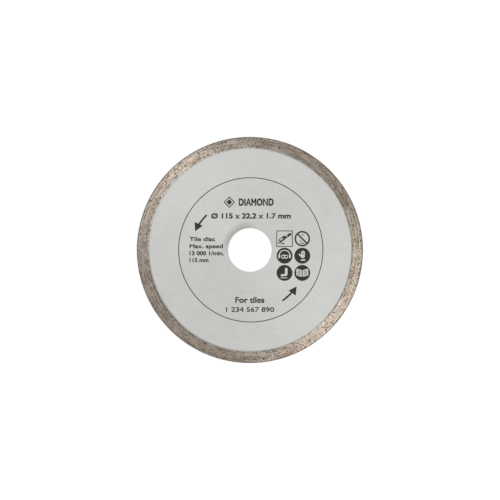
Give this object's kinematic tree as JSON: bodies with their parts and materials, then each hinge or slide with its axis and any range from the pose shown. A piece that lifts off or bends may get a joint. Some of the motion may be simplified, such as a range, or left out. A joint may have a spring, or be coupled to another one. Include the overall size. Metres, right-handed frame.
{
  "type": "diamond blade",
  "caption": "Thin round tile-cutting blade with a continuous sintered diamond rim, a lacquered steel core and a plain central bore.",
  "frame": {"origin": "on the bore's axis, halfway through the blade's thickness", "axes": "+Z along the bore's axis, out of the printed face; +Y to the top of the printed face; +X to its right"},
  "size_m": [0.115, 0.115, 0.0018],
  "materials": {
    "core_lacquer": "satin",
    "sintered_rim": "matte",
    "print_ink": "matte"
  },
  "bodies": {
    "root": {"steel_core": "core_lacquer", "diamond_rim": "sintered_rim"}
  },
  "joints": []
}
